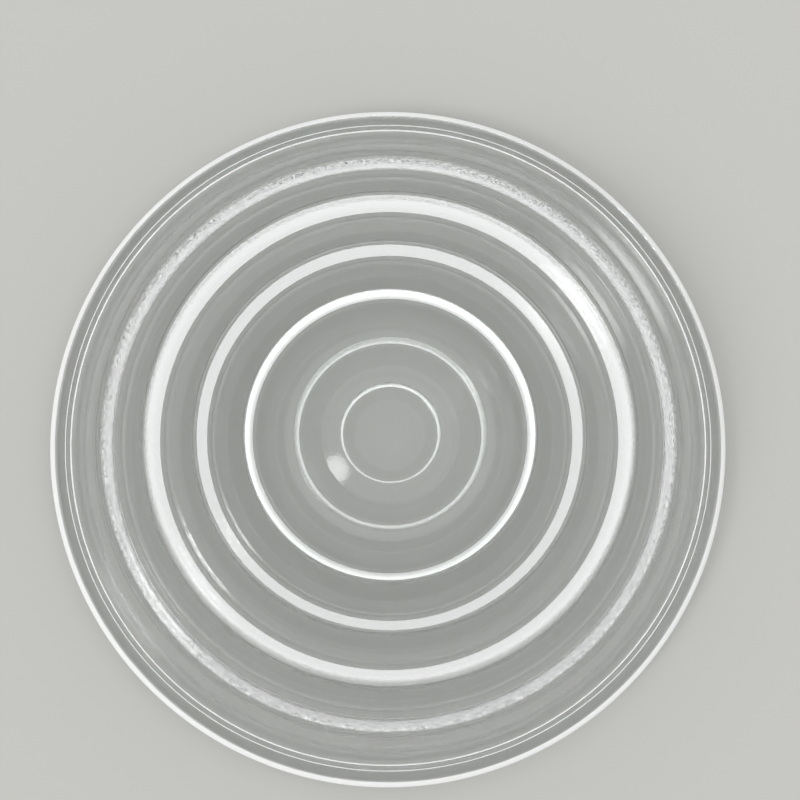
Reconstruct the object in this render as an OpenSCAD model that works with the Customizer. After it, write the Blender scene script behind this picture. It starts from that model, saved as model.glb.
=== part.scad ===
// Stepped lens in clear pressed glass: a flat back, a central dome and six
// raised rings above it, and a thin flat flange all round the edge.
// The back lies on z = 0, the axis is z and the stepped face looks to +z.

/* [Rim and flange] */
// Outside diameter of the glass disc
lens_diameter = 80; // [79:0.5:100]
// Thickness of the flat flange at the rim
flange_thickness = 3.0; // [2.4:0.1:3.4]
// Diameter where the outermost ring comes down on the flange
shoulder_diameter = 74.4; // [73.6:0.1:75.2]
// Radius of the moulded edge on the front of the rim
rim_front_radius = 0.8; // [0.2:0.1:0.9]
// Radius of the edge on the back of the rim
rim_back_radius = 0.3; // [0.1:0.1:0.6]

/* [Stepped face] */
// Height of the middle of the dome above the back
dome_height = 7.4; // [7.2:0.1:7.8]
// Radius of curvature of the lens surface at the axis
surface_radius = 14; // [13.5:0.5:17]
// How much that surface flattens outwards, as a hyperbola does towards a cone
slope_flattening = 0.4; // [0.35:0.05:0.7]
// Lean of the inner wall of every ring, in degrees from the axis
wall_draft = 5.5; // [3:0.5:8]
// Radius of the rounded groove in front of the first ring
first_groove_radius = 0.2; // [0.15:0.05:0.3]
// How much rounder each groove is than the one inside it
groove_radius_step = 0.04; // [0:0.01:0.07]
// Radius where the last ring runs out into the flange
shoulder_fillet = 0.25; // [0.1:0.05:0.8]

/* [Ring crests] */
// Radius of the crest of ring 1
crest_1_radius = 5.6; // [5.4:0.1:5.9]
// Height of the crest of ring 1
crest_1_height = 9.3; // [9:0.1:9.6]
// Radius of the crest of ring 2
crest_2_radius = 10.5; // [10.2:0.1:10.8]
// Height of the crest of ring 2
crest_2_height = 10.0; // [9.7:0.1:10.3]
// Radius of the crest of ring 3
crest_3_radius = 15.9; // [15.5:0.1:16.5]
// Height of the crest of ring 3
crest_3_height = 10.0; // [9.7:0.1:10.3]
// Radius of the crest of ring 4
crest_4_radius = 21.3; // [20.9:0.1:21.7]
// Height of the crest of ring 4
crest_4_height = 10.0; // [9.7:0.1:10.3]
// Radius of the crest of ring 5
crest_5_radius = 26.9; // [26.5:0.1:27.3]
// Height of the crest of ring 5
crest_5_height = 10.0; // [9.7:0.1:10.3]
// Radius of the crest of ring 6
crest_6_radius = 32.1; // [31.8:0.1:32.6]
// Height of the crest of ring 6
crest_6_height = 9.8; // [9.5:0.1:10.1]

/* [Hidden] */
$fn = 180;

GLASS = [0.86, 0.93, 0.94, 0.55];

rim_radius = lens_diameter / 2;
shoulder_radius = shoulder_diameter / 2;

// crests[0] is the middle of the dome, crests[1] to crests[6] the ring edges
crests = [
    [0, dome_height],
    [crest_1_radius, crest_1_height],
    [crest_2_radius, crest_2_height],
    [crest_3_radius, crest_3_height],
    [crest_4_radius, crest_4_height],
    [crest_5_radius, crest_5_height],
    [crest_6_radius, crest_6_height]
];
ring_count = len(crests) - 1;
slope_steps = 6;
arc_steps = 6;
halvings = 40;

function groove_radius(i) = first_groove_radius + groove_radius_step * (i - 1);

// The unstepped lens surface: how far it has fallen at radius r, and how steeply
function surface_root(r) = sqrt(surface_radius * surface_radius + slope_flattening * r * r);
function surface_fall(r) = (surface_root(r) - surface_radius) / slope_flattening;
function slope_angle(r) = atan(r / surface_root(r));
// Height at radius r of the slope that starts at crest i
function slope_z(i, r) = crests[i][1] - surface_fall(r) + surface_fall(crests[i][0]);
function slope_points(i, r_end) = [
    for (k = [0 : slope_steps])
        let (r = crests[i][0] + (r_end - crests[i][0]) * k / slope_steps)
        [r, slope_z(i, r)]
];

// Centre of the groove arc that touches the slope of crest i - 1 at radius r
function groove_centre(i, r) = [
    r + groove_radius(i) * sin(slope_angle(r)),
    slope_z(i - 1, r) + groove_radius(i) * cos(slope_angle(r))
];
// How far that centre stands off the wall below crest i, less the arc radius
function wall_gap(i, r) =
    let (c = groove_centre(i, r))
    (crests[i][0] - c[0]) * cos(wall_draft)
    - (crests[i][1] - c[1]) * sin(wall_draft) - groove_radius(i);
// Halve the interval until the arc touches slope and wall together
function touch_radius(i, low, high, n) =
    let (mid = (low + high) / 2)
    n == 0 ? mid
    : wall_gap(i, mid) > 0 ? touch_radius(i, mid, high, n - 1)
    : touch_radius(i, low, mid, n - 1);

function arc_points(centre, radius, from, to) = [
    for (k = [0 : arc_steps])
        let (a = from + (to - from) * k / arc_steps)
        centre + radius * [cos(a), sin(a)]
];

// One zone: the slope down from crest i - 1, the groove, the foot of the wall
function zone_points(i) =
    let (r = touch_radius(i, crests[i - 1][0], crests[i][0], halvings))
    concat(
        slope_points(i - 1, r),
        arc_points(groove_centre(i, r), groove_radius(i), 270 - slope_angle(r), 360 - wall_draft)
    );

// Straight outer flank from the last crest down to the flange
flank_run = shoulder_radius - crest_6_radius;
flank_drop = crest_6_height - flange_thickness;
flank_angle = atan(flank_drop / flank_run);
flank_tangent = shoulder_fillet * tan(flank_angle / 2);

stepped_points = [for (i = [1 : ring_count]) each zone_points(i)];
rim_points = concat(
    [crests[ring_count]],
    arc_points(
        [shoulder_radius + flank_tangent, flange_thickness + shoulder_fillet],
        shoulder_fillet, 270 - flank_angle, 270
    ),
    arc_points(
        [rim_radius - rim_front_radius, flange_thickness - rim_front_radius],
        rim_front_radius, 90, 0
    ),
    arc_points([rim_radius - rim_back_radius, rim_back_radius], rim_back_radius, 0, -90)
);

module lens() {
    color(GLASS)
        rotate_extrude(convexity = 8)
            polygon(concat([[0, 0]], stepped_points, rim_points));
}

lens();
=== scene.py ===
# %% [markdown]
# # A stepped lens in pressed glass
#
# The lens is one pressed piece of clear glass, 80 mm across. Its back is flat and finely
# stippled. Its front is a thick convex lens that has been cut into rings, and each ring has
# been pushed down, so that the glass bends light as a thick lens does but stays thin.
# Spotlights and beacons use such lenses to gather the light of a lamp.
#
# There is no colour to paint here. What the eye sees is the shape of the glass, bent images of
# the table and the bright studio around it. So the work goes into a true section, a fine mesh
# and light that has something for the glass to show.

# %% Load the frame
import math

import bmesh
import bpy
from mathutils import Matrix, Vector


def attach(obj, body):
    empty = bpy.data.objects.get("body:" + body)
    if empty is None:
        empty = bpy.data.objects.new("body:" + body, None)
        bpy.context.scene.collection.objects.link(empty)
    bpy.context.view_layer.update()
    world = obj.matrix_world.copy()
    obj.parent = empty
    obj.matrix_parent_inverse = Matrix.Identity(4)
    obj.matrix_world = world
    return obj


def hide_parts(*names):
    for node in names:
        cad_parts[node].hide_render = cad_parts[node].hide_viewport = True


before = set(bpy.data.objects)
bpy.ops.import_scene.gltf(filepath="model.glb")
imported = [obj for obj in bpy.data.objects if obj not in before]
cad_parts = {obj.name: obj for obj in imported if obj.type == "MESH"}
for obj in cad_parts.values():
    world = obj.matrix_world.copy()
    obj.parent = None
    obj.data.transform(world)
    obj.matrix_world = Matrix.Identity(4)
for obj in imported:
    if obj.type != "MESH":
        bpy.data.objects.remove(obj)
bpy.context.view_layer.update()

# %% [markdown]
# ## Units, colours and nodes
#
# Sizes are written in millimetres, as on a drawing, and turned to metres where a vertex is
# made. Colours are written as the hex values that a colour picker shows. Blender's shaders
# want linear light instead, so one function converts them, with the numbers of the sRGB
# standard. A second small function adds a node with its settings and links, so that a material
# reads as a short list.

# %% Helpers for sizes, colours and nodes
MM = 0.001


def linear(hex_colour):
    """An sRGB hex colour such as '#c8c8c4' as linear red, green, blue and alpha."""
    parts = [int(hex_colour[i:i + 2], 16) / 255 for i in (1, 3, 5)]
    return [p / 12.92 if p <= 0.04045 else ((p + 0.055) / 1.055) ** 2.4 for p in parts] + [1.0]


def add_node(tree, kind, links=None, inputs=None, **settings):
    """A new node: settings are its properties, inputs its values, links the sockets it reads."""
    node = tree.nodes.new(kind)
    for name, value in settings.items():
        setattr(node, name, value)
    for name, value in (inputs or {}).items():
        node.inputs[name].default_value = value
    for name, socket in (links or {}).items():
        tree.links.new(socket, node.inputs[name])
    return node


print("middle grey in linear light:", [round(v, 3) for v in linear("#808080")])

# %% [markdown]
# ## The section of the lens
#
# A mould for such a lens is turned on a lathe, so the lens is round everywhere and one half
# section describes it all. The section could be modelled by hand as a chain of corners, but the
# slopes are curved and the grooves are rounded, and glass shows every flat between two points.
# So each stretch is a formula:
#
# - a slope is a stretch of one hyperbola, which is round at the axis and flattens outwards
#   towards a cone
# - a wall leans back five and a half degrees, so that the pressing could leave the mould
# - an arc fills the groove between them and touches both
#
# Light that enters through a wall is mirrored inside the glass, and that is why the walls show
# as bright rings. Their lean and height set how broad those rings are.

# %% Driving dimensions, in millimetres
RIM_RADIUS = 40.0
FLANGE_THICKNESS = 3.0
SHOULDER_RADIUS = 37.2
RIM_FRONT_RADIUS = 0.8
RIM_BACK_RADIUS = 0.3

SURFACE_RADIUS = 14.0
SLOPE_FLATTENING = 0.4
WALL_DRAFT = math.radians(5.5)
FIRST_GROOVE_RADIUS = 0.2
GROOVE_RADIUS_STEP = 0.04
CREST_ROUNDING = 0.05

# The middle of the dome, then the crest of each ring: distance from the axis, height
CRESTS = [(0, 7.4), (5.6, 9.3), (10.5, 10.0), (15.9, 10.0), (21.3, 10.0), (26.9, 10.0),
          (32.1, 9.8)]

print("rings:", len(CRESTS) - 1, "thickness:", max(z for _, z in CRESTS), "mm")

# %% [markdown]
# ### The slope
#
# Every slope is a piece of the same surface, moved down as a whole, so one formula gives the
# height and the steepness of all of them. A chain of arcs could stand in for it, but it would
# have to be fitted again for every change of the radius.

# %% Height and steepness of a slope


def surface_root(r):
    """The root in the formula of the hyperbola, at distance r from the axis."""
    return math.sqrt(SURFACE_RADIUS ** 2 + SLOPE_FLATTENING * r * r)


def slope_height(crest, r):
    """Height of the slope that starts at a crest, at distance r from the axis."""
    return crest[1] - (surface_root(r) - surface_root(crest[0])) / SLOPE_FLATTENING


def slope_angle(r):
    """How steeply a slope falls at distance r from the axis."""
    return math.atan(r / surface_root(r))


print("fall of the slope at each crest, in degrees:",
      [round(math.degrees(slope_angle(r))) for r, _ in CRESTS[1:]])

# %% [markdown]
# ### Finding the groove
#
# The arc in a groove must touch the slope above it and the wall beside it. Its centre is easy
# to write down for any point of the slope. Only one point puts it at the right distance from
# the wall as well, and halving the interval again and again finds that point. An equation for it
# could be solved by hand, but the loop is shorter and easier to check.

# %% Fit an arc between slope and wall
HALVINGS = 40


def groove_centre(crest, radius, r):
    """Centre of an arc that touches the slope of this crest at distance r."""
    angle = slope_angle(r)
    return r + radius * math.sin(angle), slope_height(crest, r) + radius * math.cos(angle)


def groove_start(crest, next_crest, radius):
    """Where the arc leaves the slope, when it touches the wall below the next crest too."""
    low, high = crest[0], next_crest[0]
    for _ in range(HALVINGS):
        middle = (low + high) / 2
        x, z = groove_centre(crest, radius, middle)
        to_wall = ((next_crest[0] - x) * math.cos(WALL_DRAFT)
                   - (next_crest[1] - z) * math.sin(WALL_DRAFT))
        low, high = (middle, high) if to_wall > radius else (low, middle)
    return (low + high) / 2


print("the first groove starts", round(groove_start(*CRESTS[:2], FIRST_GROOVE_RADIUS), 2),
      "mm from the axis")

# %% [markdown]
# ### One zone
#
# A zone runs from a crest down its slope, round the groove and up the wall of the next ring.
#
# Smooth shading blends the normals of neighbouring faces. Beside a crest that would tilt a whole
# wall and spoil the mirror inside the glass. So a guard point stands close to each end of a wall
# and of a slope, and the blend stays in the short stretch beyond it. The two outer rings shine
# broader than that allows. Their walls go without the upper guard, and the shading rolls over
# the crest as if it were softer, although its shape stays crisp.

# %% Slope, groove and wall as one run of points
SLOPE_STEPS = 14
ARC_STEPS = 8
GUARD = 0.05
CREST_GUARD = 0.2
SOFT_CRESTS = CRESTS[-2:]


def arc(centre, radius, start, end):
    """Points along an arc, from one angle to the other."""
    turns = [start + (end - start) * k / ARC_STEPS for k in range(ARC_STEPS + 1)]
    return [(centre[0] + radius * math.cos(a), centre[1] + radius * math.sin(a)) for a in turns]


def on_wall(crest, drop):
    """The point of a wall that lies this far below the crest."""
    return crest[0] - drop * math.tan(WALL_DRAFT), crest[1] - drop


def zone(crest, next_crest, radius):
    """Points from a crest down its slope, round the groove and up the wall of the next ring."""
    end = groove_start(crest, next_crest, radius)
    start = crest[0] + CREST_GUARD
    steps = [start + (end - GUARD - start) * k / SLOPE_STEPS for k in range(SLOPE_STEPS + 1)]
    slope = [(r, slope_height(crest, r)) for r in [crest[0]] + steps]
    groove = arc(groove_centre(crest, radius, end), radius,
                 1.5 * math.pi - slope_angle(end), 2 * math.pi - WALL_DRAFT)
    wall_height = next_crest[1] - groove[-1][1]
    wall = [on_wall(next_crest, wall_height - GUARD)]
    if next_crest not in SOFT_CRESTS:
        wall.append(on_wall(next_crest, CREST_GUARD))
    return slope + groove + wall


section = []
for ring, (crest, next_crest) in enumerate(zip(CRESTS, CRESTS[1:])):
    section += zone(crest, next_crest, FIRST_GROOVE_RADIUS + GROOVE_RADIUS_STEP * ring)
section.append(CRESTS[-1])
print("points in the stepped part:", len(section))

# %% [markdown]
# ### Flank, flange and rim
#
# Outside the last crest the glass falls straight to a thin flange, by which a ring or three
# clips could hold the lens. Two fine grooves run round the flange, such as the joint of a mould
# or a turning tool may leave, and each shows as a thin line. They could be painted on, but only
# a real groove bends the light. The corners of the rim stay sharp here and are rounded later.

# %% Close the section
FLANK_GUARD = 0.6
OUTER_GROOVE_RADIUS = 37.9
DEEPEST_AT = 0.8

# Each fine groove: distance from the axis, width, depth
FINE_GROOVES = [(SHOULDER_RADIUS, 0.22, 0.34), (OUTER_GROOVE_RADIUS, 0.12, 0.12)]

flank_fall = (CRESTS[-1][1] - FLANGE_THICKNESS) / (SHOULDER_RADIUS - CRESTS[-1][0])
section.append((CRESTS[-1][0] + FLANK_GUARD, CRESTS[-1][1] - FLANK_GUARD * flank_fall))
for start, width, depth in FINE_GROOVES:
    section += [(start, FLANGE_THICKNESS),
                (start + DEEPEST_AT * width, FLANGE_THICKNESS - depth),
                (start + width, FLANGE_THICKNESS)]
section += [(RIM_RADIUS - RIM_FRONT_RADIUS - GUARD, FLANGE_THICKNESS),
            (RIM_RADIUS, FLANGE_THICKNESS),
            (RIM_RADIUS, FLANGE_THICKNESS - RIM_FRONT_RADIUS - GUARD),
            (RIM_RADIUS, RIM_BACK_RADIUS + GUARD),
            (RIM_RADIUS, 0), (0, 0)]
print("points in the half section:", len(section))

# %% [markdown]
# ## Turning the section
#
# Spin does what the lathe did to the mould: it sweeps the section once round the axis. A full
# spin needs use_merge, or the last copy lies unjoined on the first. Glass needs many steps,
# because a flat facet acts as a little prism that a painted part would hide.

# %% Spin the section
TURN_STEPS = 384
MERGE_DISTANCE = 0.0005

glass = bmesh.new()
corners = [glass.verts.new((x * MM, 0, z * MM)) for x, z in section]
edges = [glass.edges.new(pair) for pair in zip(corners, corners[1:])]
bmesh.ops.spin(
    glass, geom=corners + edges, cent=(0, 0, 0), axis=(0, 0, 1),
    angle=2 * math.pi, steps=TURN_STEPS, use_merge=True,
)
bmesh.ops.remove_doubles(glass, verts=glass.verts, dist=MERGE_DISTANCE * MM)
print("faces after the spin:", len(glass.faces))

# %% [markdown]
# ### Rounded edges
#
# The rim has a soft front edge and a small back one. The crests are crisp, but even they have a
# trace of rounding. Arcs could be drawn into the section for all of them. Bevel is shorter: it
# finds where each arc touches its two sides, once the turned mesh is there.

# %% Round the rim and the crests
ON_CIRCLE = 0.002
RIM_FRONT_SEGMENTS = 8
RIM_BACK_SEGMENTS = 4
CREST_SEGMENTS = 2
ROUND_PROFILE = 0.5


def loop_at(bm, radius, height):
    """The edges of the circle at this distance from the axis and this height."""
    def on_circle(v):
        return (abs(math.hypot(v.co.x, v.co.y) - radius * MM) < ON_CIRCLE * MM
                and abs(v.co.z - height * MM) < ON_CIRCLE * MM)
    return [e for e in bm.edges if on_circle(e.verts[0]) and on_circle(e.verts[1])]


def round_edge(bm, radius, height, rounding, segments):
    """Bevels one circle of edges so that the arc has this radius."""
    loop = loop_at(bm, radius, height)
    turn = loop[0].calc_face_angle()
    bmesh.ops.bevel(
        bm, geom=loop, offset=rounding * math.tan(turn / 2) * MM, offset_type="OFFSET",
        segments=segments, profile=ROUND_PROFILE, affect="EDGES", material=-1,
    )
    return len(loop)


rounded = round_edge(glass, RIM_RADIUS, FLANGE_THICKNESS, RIM_FRONT_RADIUS, RIM_FRONT_SEGMENTS)
rounded += round_edge(glass, RIM_RADIUS, 0, RIM_BACK_RADIUS, RIM_BACK_SEGMENTS)
for crest in CRESTS[1:]:
    rounded += round_edge(glass, *crest, CREST_ROUNDING, CREST_SEGMENTS)
bmesh.ops.recalc_face_normals(glass, faces=glass.faces)
print("edges rounded:", rounded)
print("volume in cubic millimetres:", round(glass.calc_volume() / MM ** 3))

# %% [markdown]
# ### Shading
#
# Smooth shading lets the slopes and grooves bend light evenly. Edges that turn by more than
# thirty degrees are marked sharp, so that the walls keep their true direction. The modifier for
# smoothing by angle would do the same, but it could not leave out the two outer crests.

# %% Mark the sharp edges
SHARP_ANGLE = math.radians(30)
SOFT_REACH = 0.3


def on_soft_crest(edge):
    """Whether an edge belongs to one of the crests over which the shading rolls."""
    middle = (edge.verts[0].co + edge.verts[1].co) / 2
    r, z = math.hypot(middle.x, middle.y), middle.z
    return any(math.hypot(r - x * MM, z - height * MM) < SOFT_REACH * MM
               for x, height in SOFT_CRESTS)


sharp = [e for e in glass.edges if e.calc_face_angle() > SHARP_ANGLE and not on_soft_crest(e)]
for edge in sharp:
    edge.smooth = False
print("sharp edges:", len(sharp))

# %% [markdown]
# ### Three finishes
#
# The back and the rim's front edge get materials of their own, because only the back is stippled
# and only that edge looks ground. The direction of a face tells which is which. The back looks
# straight down, and the rounded edge looks neither straight up nor sideways. Faces could be
# picked by their number too, but the numbers change with every step above.

# %% Choose the finish of each face
FRONT, BACK, EDGE = 0, 1, 2
EDGE_START = RIM_RADIUS - RIM_FRONT_RADIUS
LEVEL = 0.999
UPRIGHT = 0.01

for face in glass.faces:
    flat_back = face.normal.z < -LEVEL
    middle = face.calc_center_median()
    in_rim = math.hypot(middle.x, middle.y) > EDGE_START * MM
    on_edge = in_rim and UPRIGHT < face.normal.z < LEVEL
    face.material_index = BACK if flat_back else EDGE if on_edge else FRONT
    face.smooth = not flat_back
print("faces of the back:", sum(face.material_index == BACK for face in glass.faces))

# %% [markdown]
# ### The piece
#
# The lens is one pressing, so one object is enough. It stands for the solid in the frame and
# rides on the root body.

# %% Make the piece
mesh = bpy.data.meshes.new("fresnel_lens")
glass.to_mesh(mesh)
glass.free()
lens = bpy.data.objects.new("fresnel_lens", mesh)
bpy.context.collection.objects.link(lens)
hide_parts("lens")
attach(lens, "root")
mesh.calc_loop_triangles()
print("triangles:", len(mesh.loop_triangles))

# %% [markdown]
# ## Pressed glass
#
# Such lenses are made of a clear soda-lime or borosilicate glass, with an index of about 1.52.
# The front of a pressing is fire-polished: a flame melts its skin, so it is bright, but it keeps
# a faint waviness and small pits of the mould. Waves a few millimetres long bend the lines seen
# through it, and the pits break the light that grazes a wall into grain. Both are about a
# hundredth of a millimetre deep or less, so bump tilts the normals and no vertex moves.

# %% Fire-polished front
GLASS_TINT = linear("#fbfdfc")
GLASS_INDEX = 1.52
WAVE_LENGTH = 2.6
WAVE_DEPTH = 0.004
PIT_SPACING = 0.3
PIT_DEPTH = 0.012

front = bpy.data.materials.new("fire_polished_pressed_glass")
front.use_nodes = True
tree = front.node_tree
shader = tree.nodes["Principled BSDF"]
shader.inputs["Base Color"].default_value = GLASS_TINT
shader.inputs["Transmission Weight"].default_value = 1.0
shader.inputs["IOR"].default_value = GLASS_INDEX
shader.inputs["Roughness"].default_value = 0.0
place = add_node(tree, "ShaderNodeTexCoord")
waves = add_node(tree, "ShaderNodeTexNoise", {"Vector": place.outputs["Object"]},
                 {"Scale": 1 / (WAVE_LENGTH * MM), "Detail": 1.0})
wavy = add_node(tree, "ShaderNodeBump", {"Height": waves.outputs["Fac"]},
                {"Strength": 1.0, "Distance": WAVE_DEPTH * MM})
pits = add_node(tree, "ShaderNodeTexNoise", {"Vector": place.outputs["Object"]},
                {"Scale": 1 / (PIT_SPACING * MM), "Detail": 1.0})
pitted = add_node(tree, "ShaderNodeBump",
                  {"Height": pits.outputs["Fac"], "Normal": wavy.outputs["Normal"]},
                  {"Strength": 1.0, "Distance": PIT_DEPTH * MM})
tree.links.new(pitted.outputs["Normal"], shader.inputs["Normal"])
mesh.materials.append(front)
print("material:", front.name)

# %% [markdown]
# The back is pressed against a stippled plate, so that the lamp's filament is not thrown on
# the wall as a sharp picture. The dimples lie about 0.4 mm apart, one in each cell of a Voronoi
# texture, and a smooth step rounds them. With the usual filter width of the bump node they
# hardly show through the glass. It may be that a bent ray counts as a wide one. A small width
# brings them out.

# %% Stippled back
DIMPLE_SPACING = 0.42
DIMPLE_REACH = 0.35
DIMPLE_DEPTH = 0.004
FILTER_WIDTH = 0.01

back = front.copy()
back.name = "stippled_pressed_glass"
tree = back.node_tree
shader = tree.nodes["Principled BSDF"]
place = next(n for n in tree.nodes if n.type == "TEX_COORD")
dimples = add_node(tree, "ShaderNodeTexVoronoi", {"Vector": place.outputs["Object"]},
                   {"Scale": 1 / (DIMPLE_SPACING * MM)})
dimple = add_node(tree, "ShaderNodeMapRange", {"Value": dimples.outputs["Distance"]},
                  {"From Min": 0.0, "From Max": DIMPLE_REACH}, interpolation_type="SMOOTHSTEP")
stipple = add_node(tree, "ShaderNodeBump", {"Height": dimple.outputs["Result"]},
                   {"Strength": 1.0, "Distance": DIMPLE_DEPTH * MM,
                    "Filter Width": FILTER_WIDTH})
tree.links.new(stipple.outputs["Normal"], shader.inputs["Normal"])
mesh.materials.append(back)
print("material:", back.name)

# %% [markdown]
# The front edge of the disc has the look of glass rubbed on a wet grinding belt, which is done
# so that it does not cut the hand. Grinding leaves a skin of tiny cracks that scatters light in
# all directions, and the edge shows as a fine white line round the clear glass. Cracks as
# geometry would be too small to see, so roughness and less transmission stand for them. The
# side below stays as pressed.

# %% Ground edge
EDGE_WHITE = linear("#f4f5f4")
EDGE_TRANSMISSION = 0.2
EDGE_ROUGHNESS = 0.5

ground = bpy.data.materials.new("ground_glass_edge")
ground.use_nodes = True
shader = ground.node_tree.nodes["Principled BSDF"]
shader.inputs["Base Color"].default_value = EDGE_WHITE
shader.inputs["Transmission Weight"].default_value = EDGE_TRANSMISSION
shader.inputs["IOR"].default_value = GLASS_INDEX
shader.inputs["Roughness"].default_value = EDGE_ROUGHNESS
mesh.materials.append(ground)
print("material:", ground.name)

# %% [markdown]
# ## The table
#
# The lens lies on a plain pale table, and through clear glass the table is most of what the eye
# sees. It lies a hair below the back, because the lens rests on the tips of its stipple and two
# faces at one height would flicker.

# %% The table top
FLOOR_SIZE = 6000.0
FLOOR_GAP = 0.04

floor_bm = bmesh.new()
bmesh.ops.create_grid(floor_bm, x_segments=1, y_segments=1, size=FLOOR_SIZE / 2 * MM)
bmesh.ops.translate(floor_bm, verts=floor_bm.verts, vec=(0, 0, -FLOOR_GAP * MM))
floor_mesh = bpy.data.meshes.new("table")
floor_bm.to_mesh(floor_mesh)
floor_bm.free()
floor = bpy.data.objects.new("table", floor_mesh)
bpy.context.collection.objects.link(floor)
print("table at", -FLOOR_GAP, "mm")

# %% [markdown]
# The paint is matt, with no mirror shine, so that nothing on the table competes with the glass.
#
# Seen through the lens, the table looked too dark beside the bare table. A weak glow that only
# rays through glass can see lifts it. Its strength is given, and it is not physical. More light
# in the studio would lift the bare table just as much.

# %% The paint
FLOOR_GREY = linear("#bebebb")
FLOOR_ROUGHNESS = 0.9
UNDER_GLASS_LIGHT = 0.15

paint = bpy.data.materials.new("matt_painted_table")
paint.use_nodes = True
tree = paint.node_tree
shader = tree.nodes["Principled BSDF"]
shader.inputs["Base Color"].default_value = FLOOR_GREY
shader.inputs["Roughness"].default_value = FLOOR_ROUGHNESS
shader.inputs["Specular IOR Level"].default_value = 0.0
shader.inputs["Emission Color"].default_value = FLOOR_GREY
ray = add_node(tree, "ShaderNodeLightPath")
lift = add_node(tree, "ShaderNodeMath", operation="MULTIPLY")
tree.links.new(ray.outputs["Is Transmission Ray"], lift.inputs[0])
lift.inputs[1].default_value = UNDER_GLASS_LIGHT
tree.links.new(lift.outputs["Value"], shader.inputs["Emission Strength"])
floor_mesh.materials.append(paint)
print("material:", paint.name)

# %% [markdown]
# ## Light
#
# Clear glass is lit by what surrounds it. A light tent is the plain way to do that: white
# cloth all round, brighter straight above and greyer near the table. A low row of lights runs
# round it, since the inner walls mirror what lies at that height. The world can hold all of it,
# because the tent is far larger than the lens.

# %% Light tent
HORIZON_LIGHT = 0.40
SIDE_LIGHT = 1.05
STRIP_LIGHT = 1.45
TENT_LIGHT = 0.9
ZENITH_LIGHT = 1.15
PLACEHOLDER = 0.5

world = bpy.data.worlds.new("light_tent")
bpy.context.scene.world = world
world.use_nodes = True
tree = world.node_tree
view = add_node(tree, "ShaderNodeTexCoord")
direction = add_node(tree, "ShaderNodeSeparateXYZ", {"Vector": view.outputs["Generated"]})
tent = add_node(tree, "ShaderNodeValToRGB", {"Fac": direction.outputs["Z"]})
# Each stop: the sine of the angle above the table, and the level there
stops = [(0.0, HORIZON_LIGHT), (0.19, SIDE_LIGHT), (0.24, STRIP_LIGHT), (0.325, STRIP_LIGHT),
         (0.36, SIDE_LIGHT), (0.66, TENT_LIGHT), (0.90, TENT_LIGHT), (0.98, ZENITH_LIGHT)]
while len(tent.color_ramp.elements) < len(stops):
    tent.color_ramp.elements.new(PLACEHOLDER)
for element, (height, level) in zip(tent.color_ramp.elements, stops):
    element.position = height
    element.color = (level, level, level, 1)
print("levels of the tent, from the table up:", [level for _, level in stops])

# %% [markdown]
# One lamp shines through the cloth at the front left and makes a spot with soft edges. An area
# lamp would be mirrored as a disc with a hard edge, so the spot belongs to the world too. The
# dot product tells how close a direction lies to the lamp.

# %% Lamp behind the cloth
LAMP_LIGHT = 8.0
LAMP_DIRECTION = Vector((-0.71, -0.42, 0.57)).normalized()
LAMP_CORE = math.radians(5)
LAMP_EDGE = math.radians(13)

toward_lamp = add_node(tree, "ShaderNodeVectorMath", operation="DOT_PRODUCT")
tree.links.new(view.outputs["Generated"], toward_lamp.inputs[0])
toward_lamp.inputs[1].default_value = LAMP_DIRECTION
glow = add_node(tree, "ShaderNodeMapRange", {"Value": toward_lamp.outputs["Value"]},
                {"From Min": math.cos(LAMP_EDGE), "From Max": math.cos(LAMP_CORE),
                 "To Max": LAMP_LIGHT}, interpolation_type="SMOOTHSTEP")
total = add_node(tree, "ShaderNodeVectorMath", operation="ADD")
tree.links.new(tent.outputs["Color"], total.inputs[0])
tree.links.new(glow.outputs["Result"], total.inputs[1])
print("lamp:", LAMP_LIGHT, "height in degrees:", round(math.degrees(math.asin(LAMP_DIRECTION.z))))

# %% [markdown]
# The camera itself sees a plain backdrop instead of the tent, nearly as pale as the table, so
# that a low view has no bright band behind the lens. A wall of paper could do this, but it would
# stand in the light. The mix node keeps a set of sockets for each kind of value, and the ones
# for vectors are found by their number.

# %% Backdrop for the camera
BACKDROP_GREY = linear("#c4c4c1")
VECTOR_A, VECTOR_B, VECTOR_RESULT = 4, 5, 1

ray = add_node(tree, "ShaderNodeLightPath")
seen = add_node(tree, "ShaderNodeMix", data_type="VECTOR")
tree.links.new(ray.outputs["Is Camera Ray"], seen.inputs["Factor"])
tree.links.new(total.outputs["Vector"], seen.inputs[VECTOR_A])
seen.inputs[VECTOR_B].default_value = BACKDROP_GREY[:3]
tree.links.new(seen.outputs[VECTOR_RESULT], tree.nodes["Background"].inputs["Color"])
print("backdrop grey in linear light:", round(BACKDROP_GREY[0], 3))

# %% [markdown]
# ## Camera
#
# The lens is looked at from close above, so that the walls on all sides lean into view. The
# camera stands a little to the front and is aimed a little past the middle of the lens.

# %% Camera
CAMERA_PLACE = Vector((-0.4, -5.0, 97.0)) * MM
CAMERA_AIM = Vector((1.15, 4.2, 3.0)) * MM
FOCAL_LENGTH = 35.93
SENSOR_WIDTH = 36.0
NEAREST_SEEN = 5.0

camera = bpy.data.cameras.new("camera")
camera.sensor_width = SENSOR_WIDTH
camera.lens = FOCAL_LENGTH
camera.clip_start = NEAREST_SEEN * MM
camera_object = bpy.data.objects.new("camera", camera)
camera_object.location = CAMERA_PLACE
toward = CAMERA_AIM - CAMERA_PLACE
camera_object.rotation_euler = (math.atan2(toward.y, -toward.z),
                                -math.atan2(toward.x, -toward.z), 0)
bpy.context.collection.objects.link(camera_object)
bpy.context.scene.camera = camera_object
bpy.context.scene.view_settings.view_transform = "Standard"
print("camera", round(CAMERA_PLACE.z / MM), "mm above the table")
